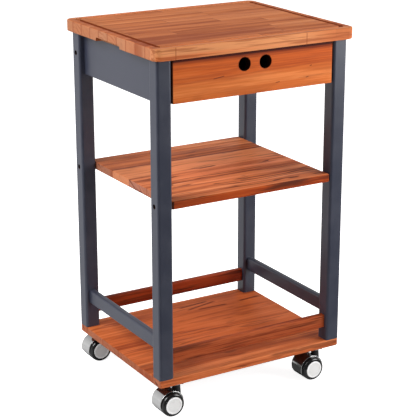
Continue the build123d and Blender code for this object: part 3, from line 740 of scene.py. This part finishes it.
def wood(
    name,
    stave,
    seed,
    across="y",
    block=NO_BUTT_JOINTS,
    tones=(WOOD_DARK, WOOD_MIDDLE, WOOD_LIGHT, WOOD_STREAK, WOOD_END),
    contrast=1.0,
    streaks=0.9,
    grain=88.0,
    rim=0.8,
    ends=0.6,
    spread=0.35,
    detail=None,
):
    """Oiled wood glued from staves that run along X, solid in all directions, with rings on its ends."""
    dark, mid, light, streak, _ = tones
    f = Finish(name)
    staves = lay_staves(f, across, stave, block, seed)
    point = staves.point
    bands = f.noise(point, BAND_NOISE, detail=4.0, roughness=0.6, distortion=0.5)
    fibre = f.noise(point, FIBRE_NOISE)
    line_scale = (LINE_NOISE_ALONG, grain, LINE_NOISE_UP)
    lines = f.noise(point, line_scale, detail=3.0, roughness=0.6, distortion=0.3)
    marks = f.noise(point, (MARK_NOISE_ALONG, MARK_GRAIN * grain, MARK_NOISE_UP), roughness=0.62)
    patches = f.noise(point, PATCH_NOISE, roughness=0.6)
    radius = growth_radius(f, staves, bands)
    rings = waves_of(f, radius, RING_TURNS, RING_LEVELS)

    depth = f.sway(0.5, bands, BAND_WEIGHT * contrast)
    depth = f.sway(depth, staves.tone, spread)
    depth = f.sway(depth, fibre, FIBRE_WEIGHT * contrast)
    depth = f.math("MULTIPLY_ADD", rings, RING_WEIGHT * contrast, depth)
    colour = f.mix(f.band(depth, MIDDLE_STEP), dark, mid)
    colour = f.mix(f.band(depth, LIGHT_STEP), colour, light)

    dark_marks = f.product(f.band(marks, MARK_LEVELS), streaks)
    colour = f.cover(colour, dark, f.band(lines, LINE_LEVELS), strength=0.8 * streaks)
    colour = f.cover(colour, streak, dark_marks)
    colour = f.cover(colour, streak, f.along("Y", FACE_LEVELS), f.band(patches, PATCH_LEVELS), strength=rim)
    colour = f.cover(colour, dark, f.fade(staves.seam, SEAM_EDGE, start=0.6))
    colour = f.cover(colour, streak, f.fade(staves.butt, BUTT_EDGE, start=0.6))
    colour = end_grain(f, colour, staves, bands, radius, tones, ends)
    if detail is not None:
        colour = detail(f, colour)

    rough = f.band(bands, WOOD_GLOSS_LEVELS, *WOOD_ROUGHNESS)
    f.set(base_color=colour, roughness=rough, specular_ior_level=WOOD_SPECULAR)
    f.bump(f.math("MULTIPLY_ADD", dark_marks, MARK_RELIEF, fibre), strength=0.2, depth=0.0004)
    return f.material


def paint(name):
    """Satin paint over wood, with a slight texture, a little wear and black screw recesses."""
    f = Finish(name)
    cloud = f.noise(f.place, PAINT_NOISE, detail=4.0)
    texture = f.noise(f.place, PAINT_TEXTURE_NOISE, detail=2.0)
    colour = f.mix(f.band(cloud, PAINT_WEAR_LEVELS), PAINT, PAINT_WORN)
    from_legs = f.math("SUBTRACT", f.math("ABSOLUTE", f.y), SCREW_Y)
    at_shelf = f.distance(from_legs, f.math("SUBTRACT", f.z, SHELF_SCREW_Z))
    at_apron = f.distance(f.math("SUBTRACT", f.y, SCREW_Y), f.math("SUBTRACT", f.z, APRON_SCREW_Z))
    colour = f.cover(colour, HOLE_DARK, f.fade(f.math("MINIMUM", at_shelf, at_apron), SCREW_EDGE))
    f.set(base_color=colour, roughness=f.band(cloud, CLOUD_LEVELS, *PAINT_ROUGHNESS))
    f.bump(texture, strength=0.08, depth=0.0002)
    return f.material


def metal(name, colour, roughness, spread):
    """Plated or polished metal with fine unevenness."""
    f = Finish(name)
    cloud = f.noise(f.place, METAL_NOISE)
    darker = tuple(METAL_DARKER * c for c in colour)
    rough = f.band(cloud, CLOUD_LEVELS, roughness, roughness + spread)
    f.set(base_color=f.mix(cloud, darker, colour), roughness=rough, metallic=1.0)
    return f.material


def plastic(name, colour, roughness, texture):
    """Moulded plastic with a fine surface texture."""
    f = Finish(name)
    cloud = f.noise(f.place, PLASTIC_NOISE)
    lighter = tuple(PLASTIC_LIGHTER * c + PLASTIC_LIFT for c in colour)
    rough = f.band(cloud, CLOUD_LEVELS, roughness, roughness + PLASTIC_SPREAD)
    f.set(base_color=f.mix(cloud, colour, lighter), roughness=rough)
    f.bump(f.noise(f.place, PLASTIC_TEXTURE_NOISE, detail=2.0), strength=texture, depth=0.0001)
    return f.material


def hub_cap(name):
    """Pale plastic disc with a whiter rim."""
    f = Finish(name)
    from_axle = f.math("MINIMUM", f.off(f.x, LEFT_AXLE.x), f.off(f.x, RIGHT_AXLE.x))
    reach = f.distance(from_axle, f.math("SUBTRACT", f.z, LEFT_AXLE.z))
    cloud = f.noise(f.place, CAP_NOISE)
    face = f.mix(cloud, tuple(CAP_DARKER * c for c in CAP_FACE), CAP_FACE)
    colour = f.cover(face, CAP_RIM, f.band(reach, CAP_RIM_EDGE))
    f.set(base_color=colour, roughness=f.band(cloud, CLOUD_LEVELS, *CAP_ROUGHNESS))
    f.bump(f.noise(f.place, PLASTIC_TEXTURE_NOISE, detail=2.0), strength=0.04, depth=0.0001)
    return f.material


def white_floor(name):
    """A floor that is white in the picture, darker in reflections in front of the cart, with a painted
    shadow under the cart in reflections and a faint cast shadow.
    """
    f = Finish(name)
    seen, mirrored = f.rays()
    front = f.band(f.y, FLOOR_FRONT_Y, FLOOR_FRONT_LEVEL, 1.0)
    beside = f.band(f.math("ABSOLUTE", f.x), FLOOR_SIDE_X)
    behind = f.band(f.math("ABSOLUTE", f.y), FLOOR_BACK_Y)
    # Painted shadow under the cart, seen only in reflections
    clear_of_shadow = f.math("MAXIMUM", f.math("MAXIMUM", beside, behind), FLOOR_UNDER_SHADOW_LEVEL)
    shown = f.math("MAXIMUM", seen, f.product(mirrored, front, clear_of_shadow))
    glow = f.band(f.distance(f.x, f.y), FLOOR_NEAR, FLOOR_NEAR_LEVEL, 1.0)
    plain = f.mix(f.noise(f.place, FLOOR_NOISE), FLOOR_WHITE, FLOOR_SOFT)
    f.set(base_color=f.mix(mirrored, plain, BLACK), roughness=0.9, specular_ior_level=0.0)
    f.set(emission_color=WHITE, emission_strength=f.product(shown, glow))
    return f.material


def finishes():
    """Every material, by the record's slot name."""
    inner = (INNER_DARK, INNER_MIDDLE, INNER_LIGHT, INNER_DARK, INNER_MIDDLE)
    pale = (PALE_DARK, PALE_MIDDLE, PALE_LIGHT, PALE_DARK, PALE_MIDDLE)
    return {
        "top_wood": wood(
            "top_wood",
            stave=TOP_STAVE,
            block=TOP_BLOCK,
            seed=3.0,
            contrast=1.2,
            streaks=0.40,
            rim=0.6,
            ends=0.15,
            spread=0.3,
            detail=worktop_details,
        ),
        "shelf_wood": wood(
            "shelf_wood",
            stave=BOARD_STAVE,
            seed=11.0,
            contrast=1.25,
            grain=46.0,
            tones=(WOOD_DARK, WOOD_MIDDLE, WOOD_LIGHT, WOOD_STREAK, SHELF_END),
            rim=0.6,
            ends=0.85,
            spread=0.5,
            detail=board_details,
        ),
        "drawer_wood": wood(
            "drawer_wood",
            across="z",
            stave=DRAWER_STAVE,
            seed=5.5,
            tones=(DRAWER_DARK, DRAWER_MIDDLE, DRAWER_LIGHT, WOOD_STREAK, WOOD_END),
            streaks=0.3,
            rim=0.15,
            detail=drawer_details,
        ),
        "inner_wood": wood("inner_wood", across="z", stave=DRAWER_STAVE, seed=7.0, tones=inner, streaks=0.3),
        "panel_wood": wood("panel_wood", stave=PALE_STAVE, seed=9.0, tones=pale, streaks=0.3),
        "dowel_wood": wood("dowel_wood", stave=PALE_STAVE, seed=13.0, tones=pale, streaks=0.2),
        "frame_paint": paint("frame_paint"),
        "zinc_steel": metal("zinc_steel", ZINC, roughness=0.28, spread=0.14),
        "screw_steel": metal("screw_steel", STEEL, roughness=0.30, spread=0.15),
        "chrome": metal("chrome", CHROME, roughness=0.07, spread=0.05),
        "castor_black": plastic("castor_black", FORK_BLACK, roughness=0.30, texture=0.10),
        "wheel_black": plastic("wheel_black", WHEEL_BLACK, roughness=0.12, texture=0.04),
        "cap_grey": hub_cap("cap_grey"),
    }


def dress(materials):
    """Gives each CAD node the finish of its slot."""
    slots = {row["node"]: row["material_slot"] for row in frame["record"]["subparts"]}
    for node, obj in frame["nodes"].items():
        for slot in obj.material_slots:
            slot.material = materials[slots[node]]


def make_floor():
    """The floor under the cart."""
    half = FLOOR_HALF
    mesh = bpy.data.meshes.new("floor")
    corners = [(-half, -half, 0), (half, -half, 0), (half, half, 0), (-half, half, 0)]
    mesh.from_pydata(corners, [], [(0, 1, 2, 3)])
    floor = bpy.data.objects.new("floor", mesh)
    mesh.materials.append(white_floor("floor_white"))
    bpy.context.scene.collection.objects.link(floor)


def make_lamp(name, place, side, watts, mirrored):
    """A soft square lamp that points at the cart, and may be left out of reflections."""
    data = bpy.data.lights.new(name, "AREA")
    data.size = side
    data.energy = watts
    lamp = bpy.data.objects.new(name, data)
    lamp.location = place
    lamp.visible_glossy = mirrored
    lamp.rotation_euler = (LAMP_AIM - place).to_track_quat("-Z", "Y").to_euler()
    bpy.context.scene.collection.objects.link(lamp)


def make_world():
    """White to the eye, fading in reflections above and in front, and a plain soft light on the rest."""
    world = bpy.data.worlds.new("studio")
    world.use_nodes = True
    n = Nodes(world.node_tree)
    x, y, z = n.split(n.tree.nodes.new("ShaderNodeTexCoord").outputs["Generated"])
    seen, mirrored = n.rays()
    front = n.band(y, SKY_FRONT_Y, SKY_FRONT_LEVEL, 1.0, smooth=False)
    overhead = n.band(x, SKY_LEFT_X, *SKY_HIGH_LEVELS, smooth=False)
    high = n.band(z, SKY_HIGH_Z, 1.0, overhead, smooth=False)
    soft = n.band(mirrored, (0.0, 1.0), SOFT_LIGHT, 0.0, smooth=False)
    unseen = n.math("ADD", n.product(front, high, mirrored), soft)
    background = n.tree.nodes["Background"]
    n.plug(background.inputs["Color"], WHITE)
    n.plug(background.inputs["Strength"], n.math("MAXIMUM", seen, unseen))
    bpy.context.scene.world = world


def make_camera():
    """The camera at the picture's viewing angle."""
    data = bpy.data.cameras.new("camera")
    data.sensor_width = SENSOR_WIDTH
    data.lens = FOCAL_PIXELS / PICTURE_SIDE * SENSOR_WIDTH
    camera = bpy.data.objects.new("camera", data)
    camera.location = CAMERA_PLACE
    camera.rotation_euler = (math.pi / 2 - CAMERA_PITCH, 0.0, CAMERA_YAW)
    bpy.context.scene.collection.objects.link(camera)
    bpy.context.scene.camera = camera


dress(finishes())
make_floor()
make_world()
for name, (place, side, watts, mirrored) in LAMPS.items():
    make_lamp(name, place, side, watts, mirrored)
make_camera()
bpy.context.scene.view_settings.view_transform = "Standard"
